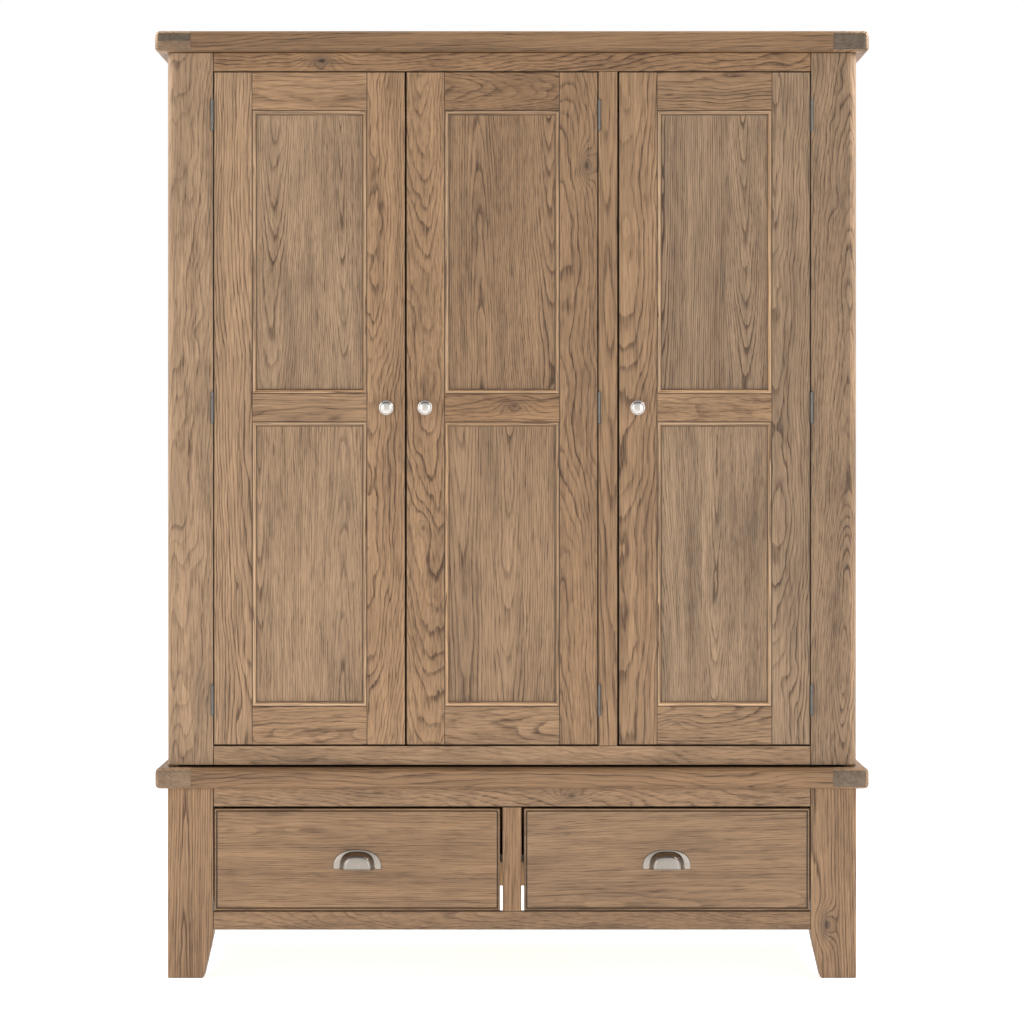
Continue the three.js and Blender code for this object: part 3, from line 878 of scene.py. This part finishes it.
def build_beads(name, panel, frame_node):
    """Four mitred mouldings round a door panel, level with the frame's face."""
    face_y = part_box(frame_node)[0][1]
    (x0, _, z0), (x1, _, z1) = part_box(panel)
    corners = ((x0, z0, 1, 1), (x1, z0, -1, 1), (x1, z1, -1, -1), (x0, z1, 1, -1))
    for index, word in enumerate(("bottom", "right", "top", "left")):
        bm = bmesh.new()
        loops = []
        for x, z, sx, sz in (corners[index], corners[(index + 1) % 4]):
            loops.append([(x + sx * inset * MM, face_y + depth * MM, z + sz * inset * MM)
                          for inset, depth, _ in BEAD_SECTION])
        loft(bm, loops)
        along = "X" if word in ("bottom", "top") else "Z"
        mesh = timber(bm, f"{name}_{word}_bead", frame_node, (along, "Y", "bead"), smooth=True)
        # Painted shade and painted highlight across the bead's section, lightened per side.
        scale_tones(mesh, [tone * BEAD_SIDE_LIGHT[word] for _, _, tone in BEAD_SECTION])


def build_door(word, side):
    prefix = f"{word}_door_"
    for name in ("hinge_stile", "lock_stile"):
        board(prefix + name, "Z", "Y", "stile", prefix + name.replace("stile", "post"))
    for name in ("top_rail", "middle_rail", "bottom_rail"):
        board(prefix + name, "X", "Y", "rail", prefix + name.replace("rail", "cross_piece"), short=DOOR_JOINT)
    for level in ("lower", "upper"):
        node = f"{prefix}{level}_panel"
        low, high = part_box(node)
        joints = even_joints(low[0], high[0], DOOR_PLANK, node, 0.25)
        board(node, "Z", "Y", "panel", joints=joints, soft=PANEL_SOFT)
        build_beads(prefix + level, node, prefix + "hinge_stile")
    build_knob(word)
    for level in LEVELS:
        build_hinge(word, level, side)


KNOB_NECK = (
    # Radius and distance from the door, in mm.
    (0.0, 0.0), (8.6, 0.0), (9.0, 0.5), (9.0, 1.4), (8.4, 2.0), (6.6, 2.4), (5.6, 3.4), (5.2, 5.5),
    (5.2, 10.5), (5.8, 13.0), (7.8, 15.2), (10.8, 16.8), (13.2, 18.0),
)
KNOB_RIM = (
    # How far inside the knob's radius and short of its tip, in mm and negative.
    (-0.6, -5.6), (-0.1, -4.6), (0.0, -3.8), (-0.25, -2.9), (-0.9, -2.3), (-1.7, -2.2),
    (-2.3, -2.6), (-2.5, -2.9),
)
KNOB_SHOULDER = 2.6 * MM
KNOB_RISE = 2.9 * MM
DOME_STEPS = 8


def build_knob(word):
    node = f"{word}_door_knob"
    low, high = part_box(node)
    x, z = (low[0] + high[0]) / 2, (low[2] + high[2]) / 2
    r = (high[0] - low[0]) / 2
    reach = high[1] - low[1]
    profile = in_metres(KNOB_NECK)
    profile += [(r + a * MM, reach + b * MM) for a, b in KNOB_RIM]
    dome, start = r - KNOB_SHOULDER, reach - KNOB_RISE
    for i in range(DOME_STEPS):
        turn = math.radians(90 * i / DOME_STEPS)
        profile.append((dome * math.cos(turn), start + KNOB_RISE * math.sin(turn)))
    profile.append((0.0, reach))
    bm = lathe_mesh(profile, 64, (x, high[1], z), (0, -1, 0))
    place(bm, f"{word}_door_pull_knob", node, "nickel", [node], smooth=True)


BARREL_R = 3 * MM
KNUCKLE_END = 15 * MM  # each outer knuckle's length
KNUCKLE_EDGE = 0.35 * MM
LEAF_T = 0.7 * MM
LEAF_FRONT = 2.2 * MM  # how far behind the pin's line the leaves are full height
LEAF_GAP = 0.1 * MM  # between the two leaves
HINGE_GAP = 0.15 * MM
PIN_TIP = ((0.0, -0.2), (1.9, -0.2), (2.1, 0.3), (1.7, 0.8), (0.0, 1.0))
SCREW_HEAD = ((0, -0.3), (3.4, -0.3), (3.4, 0.02), (3.0, 0.12), (0, 0.12))
SCREW_PLACES = (0.16, 0.5, 0.84)  # up the leaf


def build_hinge(word, level, side):
    """A butt hinge: the frame's leaf has the outer knuckles and the pin, the door's the middle one."""
    node = f"{word}_door_{level}_hinge"
    low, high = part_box(node)
    pin_x = high[0] - BARREL_R if side > 0 else low[0] + BARREL_R
    pin_y = low[1] + BARREL_R
    z0, z1 = low[2], high[2]
    cuts = [z0, z0 + KNUCKLE_END, z1 - KNUCKLE_END, z1]

    def knuckle(a, b):
        edge, long = KNUCKLE_EDGE, b - a
        profile = [(0, 0), (BARREL_R - edge, 0), (BARREL_R, edge), (BARREL_R, long - edge),
                   (BARREL_R - edge, long), (0, long)]
        return lathe_mesh(profile, 24, (pin_x, pin_y, a), (0, 0, 1))

    def leaf(x_a, x_b, spans):
        x0, x1 = sorted((x_a, x_b))
        plates = [box_mesh((x0, pin_y + LEAF_FRONT, z0 + HINGE_GAP), (x1, high[1], z1 - HINGE_GAP))]
        for a, b in spans:
            plates.append(box_mesh((x0, pin_y, a + HINGE_GAP), (x1, pin_y + LEAF_FRONT, b - HINGE_GAP)))
        inner = x_a if abs(x_a - pin_x) > abs(x_b - pin_x) else x_b
        screw_y = (pin_y + high[1]) / 2 + 1.5 * MM
        for share in SCREW_PLACES:
            middle = (inner, screw_y, z0 + (z1 - z0) * share)
            plates.append(lathe_mesh(in_metres(SCREW_HEAD), 20, middle, (inner - pin_x, 0, 0)))
        return plates

    frame_edge = low[0] + LEAF_T / 2 if side > 0 else high[0] - LEAF_T / 2
    outer = [(cuts[0], cuts[1]), (cuts[2], cuts[3])]
    fixed = [knuckle(a, b) for a, b in outer] + leaf(frame_edge, frame_edge + side * LEAF_T, outer)
    for z, way in ((z0, -1), (z1, 1)):
        fixed.append(lathe_mesh(in_metres(PIN_TIP), 20, (pin_x, pin_y, z), (0, 0, way)))
    place(merge(*fixed), f"{word}_door_{level}_frame_leaf", node, "steel", [node], smooth=True)
    near = frame_edge - side * LEAF_GAP
    moving = [knuckle(cuts[1] + HINGE_GAP, cuts[2] - HINGE_GAP)]
    moving += leaf(near, near - side * LEAF_T, [(cuts[1], cuts[2])])
    place(merge(*moving), f"{word}_door_{level}_door_leaf", node, "steel", smooth=True, body=f"{word}_door")


# ---- Drawers ----
TRAY_WALL = 12 * MM
GROOVE_DEPTH = 7 * MM
GROOVE_PLAY = 1.5 * MM  # over and under the runner
TRAY_BOTTOM_T = 9 * MM
TRAY_BOTTOM_UP = 8 * MM
TRAY_BACK_DROP = 4 * MM


def build_drawer(word):
    build_drawer_front(word)
    node = f"{word}_drawer_tray"
    low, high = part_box(node)
    left, right = low[0] + TRAY_WALL, high[0] - TRAY_WALL
    for side, x_out, x_in, nodes in (("left", low[0], left, [node]), ("right", high[0], right, [])):
        bm = groove_board(x_out, x_in, low, high)
        timber(bm, f"{word}_drawer_{side}_side", node, ("Y", "X", "plank"), nodes, material="inner")
    floor_z = low[2] + TRAY_BOTTOM_UP
    floor_top = floor_z + TRAY_BOTTOM_T
    inner_board(f"{word}_drawer_back", node, (left, high[1] - TRAY_WALL, floor_top),
                (right, high[1], high[2] - TRAY_BACK_DROP), "X", "Y", "plank")
    inner_board(f"{word}_drawer_bottom", node, (left, low[1], floor_z), (right, high[1], floor_top),
                "X", "Z", "panel")
    build_cup_pull(word)


def groove_board(x_out, x_in, low, high):
    """A drawer side with the runner's groove along its outer face."""
    bed = x_out + math.copysign(GROOVE_DEPTH, x_in - x_out)
    run_z, run_top = RUNNER_LEVELS
    z0, z1 = run_z - GROOVE_PLAY, run_top + GROOVE_PLAY
    outline = [(x_in, low[2]), (x_out, low[2]), (x_out, z0), (bed, z0), (bed, z1), (x_out, z1),
               (x_out, high[2]), (x_in, high[2])]
    bm = prism(outline, low[1], high[1])
    bmesh.ops.recalc_face_normals(bm, faces=bm.faces)
    soften(bm)
    return bm


FRONT_SECTION = (
    # Inset from the edge, depth below the face and the corner's radius, in mm, and the tone from there on:
    # painted shade at the outer edge and in the sunk line, and a painted highlight on the bead.
    (0.8, 20.0, 1.0, 0.8), (0.0, 19.2, 1.0, 0.8), (0.0, 2.4, 1.0, 0.9), (0.3, 1.2, 1.2, 1.05),
    (0.9, 0.4, 1.4, 1.2), (1.8, 0.0, 1.6, 1.25), (2.8, 0.2, 1.8, 1.15), (3.6, 0.9, 2.0, 1.0),
    (4.3, 2.2, 2.2, 0.65), (4.5, 3.6, 2.3, 0.5), (5.7, 3.6, 3.2, 0.55), (5.9, 1.6, 3.4, 0.8),
    (6.3, 0.9, 3.6, 1.0), (7.0, 0.6, 4.0, 1.0),
)
FRONT_CORNER_STEPS = 5


def build_drawer_front(word):
    """A board with a bead round its edge and a narrow sunk line inside the bead."""
    node = f"{word}_drawer_front"
    low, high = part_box(node)
    loops = []
    for inset, depth, radius, _ in FRONT_SECTION:
        ring = rounded_loop((low[0], low[2]), (high[0], high[2]), inset * MM, (inset + radius) * MM,
                            FRONT_CORNER_STEPS, 0.0)
        loops.append([(x, low[1] + depth * MM, z) for x, z, _ in ring])
    bm = bmesh.new()
    loft(bm, loops)
    mesh = timber(bm, f"{word}_drawer_face", node, ("X", "Y", "drawer"), [node], node)
    # Painted shade and painted highlight across the bead's section.
    scale_tones(mesh, [tone for *_, tone in FRONT_SECTION[:-1] for _ in loops[0]])


CUP_STEPS_ROUND = 48
CUP_BOXY = 2.8  # 2 would make the cup's outline a plain half-ellipse
CUP_PROFILE = (
    # Inset from the cup's outline in mm, and the share of its reach there.
    (0.0, 0.0), (1.4, 0.16), (2.8, 0.33), (4.2, 0.5), (5.5, 0.65), (6.8, 0.78), (8.2, 0.875),
    (9.8, 0.935), (11.8, 0.97), (14.5, 0.985), (19.0, 0.995), (25.0, 1.0),
)
CUP_HALF_WIDTH = 35.6 * MM
CUP_UNDER_PLATE = 3.2 * MM  # how far below the plate's top the cup's is
CUP_WALL = 1.6 * MM
LIP_R = 1.1 * MM
PLATE_BOXY = 2.35
PLATE_CORNER = 4 * MM
PLATE_T = 1.8 * MM
PLATE_SECTION = ((0.0, 0.0), (0.0, 1.1), (0.25, 1.55), (0.8, 1.8))  # inset and depth, in mm
PLATE_CORNER_STEPS = 6


def power_of(value, exponent):
    return math.copysign(abs(value) ** exponent, value)


def arch(half_width, height, boxy):
    """Half a superellipse, from the right end over the top to the left."""
    points = []
    for i in range(CUP_STEPS_ROUND + 1):
        turn = math.pi * i / CUP_STEPS_ROUND
        across, up = (power_of(f(turn), 2 / boxy) for f in (math.cos, math.sin))
        points.append((half_width * across, height * up))
    return points


def plate_mesh(x, wall_y, base_z, half_width, height):
    """The flat half-round plate behind the cup."""
    bm = bmesh.new()
    loops = []
    turns = [math.radians(90 * i / PLATE_CORNER_STEPS) for i in range(PLATE_CORNER_STEPS)]
    for inset, depth in in_metres(PLATE_SECTION):
        r = PLATE_CORNER - inset
        right = [(half_width - inset - r * (1 - math.sin(t)), -r * math.cos(t)) for t in turns]
        over = arch(half_width - inset, height - PLATE_CORNER - inset, PLATE_BOXY)
        left = [(-dx, dz) for dx, dz in reversed(right)]
        loops.append([(x + dx, wall_y - depth, base_z + PLATE_CORNER + dz) for dx, dz in right + over + left])
    loft(bm, loops)
    return bm


def cup_mesh(x, wall_y, base_z, half_width, height, reach):
    """A thin hollow cup, open underneath: its wall leans in, then rolls over to a nearly flat face."""
    bm = bmesh.new()
    profile = [(inset * MM, share) for inset, share in CUP_PROFILE] + [(height, 1.0)]
    skins = []
    for wall in (0.0, CUP_WALL):
        rows = []
        for inset, share in profile:
            wide = half_width - wall - inset * (half_width - wall) / half_width
            tall = max(height - wall - inset * (height - wall) / height, 0.0)
            y = wall_y - share * (reach - wall)
            rows.append([bm.verts.new((x + dx, y, base_z + dz)) for dx, dz in arch(wide, tall, CUP_BOXY)])
        skins.append(rows)
    for rows in skins:
        for lower, upper in zip(rows, rows[1:]):
            for i in range(CUP_STEPS_ROUND):
                bm.faces.new((lower[i], lower[i + 1], upper[i + 1], upper[i]))
    outer, inner = skins
    for a, b, c, d in zip(outer, outer[1:], inner, inner[1:]):
        for i in (0, CUP_STEPS_ROUND):
            bm.faces.new((a[i], b[i], d[i], c[i]))
    for row, lining in ((outer[0], inner[0]), (outer[-1], inner[-1])):
        for i in range(CUP_STEPS_ROUND):
            bm.faces.new((row[i], row[i + 1], lining[i + 1], lining[i]))
    bmesh.ops.remove_doubles(bm, verts=bm.verts, dist=1e-6)
    bmesh.ops.dissolve_degenerate(bm, edges=bm.edges, dist=1e-6)
    return bm


def lip_mesh(x, wall_y, base_z, half_width, reach, sides=12):
    """A round bead along the cup's lower edge."""
    side = [Vector((half_width - inset * MM, -share * reach, 0)) for inset, share in CUP_PROFILE]
    path = side + [Vector((-p.x, p.y, 0)) for p in reversed(side)]
    bm = bmesh.new()
    loops = []
    for i, point in enumerate(path):
        along = path[min(i + 1, len(path) - 1)] - path[max(i - 1, 0)]
        out = Vector((-along.y, along.x, 0)).normalized()
        centre = Vector((x, wall_y, base_z + LIP_R)) + point
        rim = [math.cos(t) * out + Vector((0, 0, math.sin(t))) for t in whole_turn(sides)]
        loops.append([centre + LIP_R * spoke for spoke in rim])
    loft(bm, loops)
    return bm


def build_cup_pull(word):
    """A flat half-round plate with a hollow cup on it, open underneath."""
    node = f"{word}_drawer_cup_pull"
    low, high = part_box(node)
    x, wall_y, base_z = (low[0] + high[0]) / 2, high[1], low[2]
    half_width, height, reach = (high[0] - low[0]) / 2, high[2] - low[2], high[1] - low[1]
    cup_y = wall_y - PLATE_T / 2
    lip_reach = reach - PLATE_T / 2 - LIP_R
    meshes = (
        plate_mesh(x, wall_y, base_z, half_width - 0.5 * MM, height),
        cup_mesh(x, cup_y, base_z + 0.5 * MM, CUP_HALF_WIDTH, height - CUP_UNDER_PLATE, reach - 2.1 * MM),
        lip_mesh(x, cup_y, base_z, CUP_HALF_WIDTH, lip_reach),
    )
    place(merge(*meshes), f"{word}_cup_handle", node, "pewter", [node], smooth=True)


# ---- Stage ----
WHITE = (1.0, 1.0, 1.0, 1.0)
LAMPS = {
    # Name: place, the height that it is aimed at, width, height, watts.
    "front_right": ((2.8, -5.4, 1.6), 1.0, 2.4, 2.4, 36),
    "front_left": ((-3.0, -5.4, 1.6), 1.0, 2.4, 2.4, 43),
    "side_right": ((2.4, -0.05, 2.8), 1.7, 1.2, 1.2, 85),
    "side_left": ((-2.4, 0.1, 2.9), 1.7, 1.2, 1.2, 70),
    "overhead": ((0.0, 0.6, 4.6), 1.0, 3.0, 2.0, 60),
}
HORIZON = 1.0  # the sky's strength up to a quarter of the way to the zenith
CEILING = 0.18
FLOOR_GLOW = 0.75
FLOOR_HALF = 60


def build_stage():
    world = bpy.data.worlds.new("studio")
    bpy.context.scene.world = world
    world.use_nodes = True
    tree = world.node_tree
    background = tree.nodes["Background"]
    direction = add_node(tree, "TexCoord").outputs["Generated"]
    height = add_node(tree, "SeparateXYZ", {0: direction}).outputs["Z"]
    strength = spread(tree, height, 0.25, 0.55, HORIZON, CEILING)
    feed(tree, background, {"Color": WHITE, "Strength": strength})

    bm = bmesh.new()
    bmesh.ops.create_grid(bm, x_segments=1, y_segments=1, size=FLOOR_HALF)
    mesh = bpy.data.meshes.new("floor")
    bm.to_mesh(mesh)
    bm.free()
    floor = add_object("floor", mesh)
    material, tree, shader = new_material("pale_floor")
    feed(tree, shader, {"Base Color": (0.9, 0.9, 0.9, 1.0), "Roughness": 0.9,
                        "Emission Color": WHITE, "Emission Strength": FLOOR_GLOW})
    mesh.materials.append(material)

    for name, (spot, aim, width, height, watts) in LAMPS.items():
        data = bpy.data.lights.new(name, "AREA")
        data.shape = "RECTANGLE"
        data.size, data.size_y = width, height
        data.energy = watts
        data.specular_factor = 0.3 if "side" in name else 0.6
        lamp = add_object(name, data)
        lamp.location = spot
        lamp.rotation_euler = (Vector((0, 0, aim)) - Vector(spot)).to_track_quat("-Z", "Y").to_euler()


def build_camera():
    data = bpy.data.cameras.new("camera")
    data.sensor_width = 36
    data.lens = LENS_MM
    data.shift_y = SHIFT_Y
    data.clip_end = 200
    camera = add_object("camera", data)
    camera.location = ((cad_low[0] + cad_high[0]) / 2, cad_low[1] - CAMERA_DISTANCE, EYE_HEIGHT)
    camera.rotation_euler = (math.radians(90 - PITCH_DEG), 0, 0)
    bpy.context.scene.camera = camera


build_camera()
build_carcass()
build_base()
for door, hinge_side in DOORS.items():
    build_door(door, hinge_side)
for drawer in ("left", "right"):
    build_drawer(drawer)
build_stage()
bpy.context.scene.view_settings.view_transform = "Standard"
